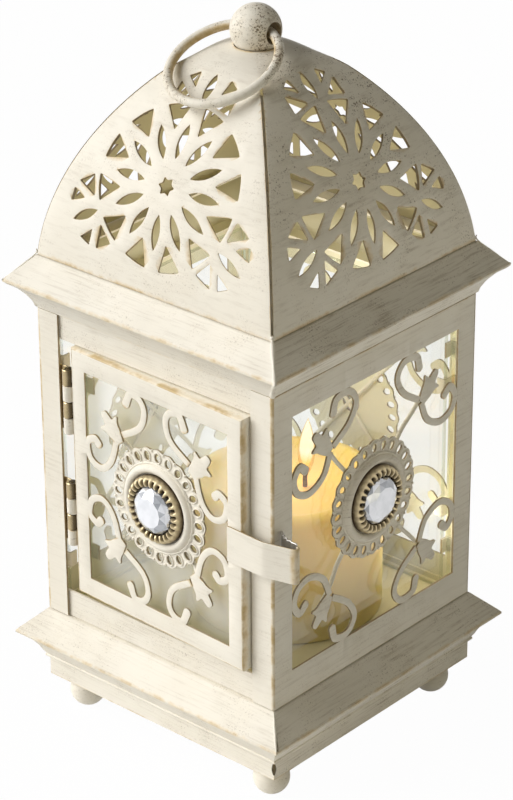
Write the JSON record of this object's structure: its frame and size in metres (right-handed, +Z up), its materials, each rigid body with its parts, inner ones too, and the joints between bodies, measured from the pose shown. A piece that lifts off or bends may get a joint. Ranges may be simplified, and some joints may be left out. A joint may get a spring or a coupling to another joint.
{
  "type": "candle lantern",
  "caption": "Square metal candle lantern with a pierced dome, glazed fretwork sides, a hinged latched door, ball feet and a carry ring.",
  "frame": {"origin": "on the ground under the middle of the body, at the feet's flats", "axes": "+Z up, the door faces -Y, the door's hinges are at its -X side and its latch at its +X side"},
  "size_m": [0.1309, 0.1278, 0.2736],
  "materials": {
    "cream_paint": "chalky cream paint, brushed and rubbed through to gold brown at the edges",
    "antique_gilt": "dulled gilt with pale wear on the high points",
    "dark_bronze": "dark bronze plating",
    "plated_steel": "plain plated steel",
    "pane_glass": "clear pane with a faint green tint",
    "cut_glass": "clear faceted stone with a silvered back",
    "candle_wax": "ivory wax, smooth and slightly translucent",
    "burnt_wick": "charred cotton"
  },
  "bodies": {
    "lantern": {"base_skirt": "cream_paint", "floor_pan": "cream_paint", "foot_front_left": "cream_paint", "foot_front_right": "cream_paint", "foot_back_left": "cream_paint", "foot_back_right": "cream_paint", "side_panel_right": "cream_paint", "side_panel_left": "cream_paint", "back_panel": "cream_paint", "front_lintel": "cream_paint", "front_sill": "cream_paint", "eave": "cream_paint", "dome_shell": "cream_paint", "finial_ball": "cream_paint", "finial_screw": "plated_steel", "finial_washer": "plated_steel", "candle": "candle_wax", "wick": "burnt_wick", "ridge_bead_front_left": "cream_paint", "ridge_bead_front_right": "cream_paint", "ridge_bead_back_left": "cream_paint", "ridge_bead_back_right": "cream_paint", "glass_right": "pane_glass", "right_wire_cross": "cream_paint", "right_medallion": "cream_paint", "right_setting": "antique_gilt", "right_crystal": "cut_glass", "glass_left": "pane_glass", "left_wire_cross": "cream_paint", "left_medallion": "cream_paint", "left_setting": "antique_gilt", "left_crystal": "cut_glass", "glass_back": "pane_glass", "back_wire_cross": "cream_paint", "back_medallion": "cream_paint", "back_setting": "antique_gilt", "back_crystal": "cut_glass", "hinge_upper_body_leaf": "dark_bronze", "hinge_upper_pin": "dark_bronze", "hinge_lower_body_leaf": "dark_bronze", "hinge_lower_pin": "dark_bronze"},
    "door": {"door_frame": "cream_paint", "door_glass": "pane_glass", "door_wire_cross": "cream_paint", "door_medallion": "cream_paint", "door_setting": "antique_gilt", "door_crystal": "cut_glass", "latch_strap": "cream_paint", "hinge_upper_door_leaf": "cream_paint", "hinge_lower_door_leaf": "cream_paint"},
    "ring": {"carry_ring": "cream_paint"}
  },
  "joints": [
    {"name": "door_hinge", "type": "hinge", "parent": "lantern", "child": "door", "pos_m": [-0.0406, -0.055, 0.1], "axis": [0, 0, -1], "range_deg": [0, 160]},
    {"name": "ring_swing", "type": "hinge", "parent": "lantern", "child": "ring", "pos_m": [0, 0, 0.26502], "axis": [-1, 0, 0], "range_deg": [0, 231]}
  ]
}
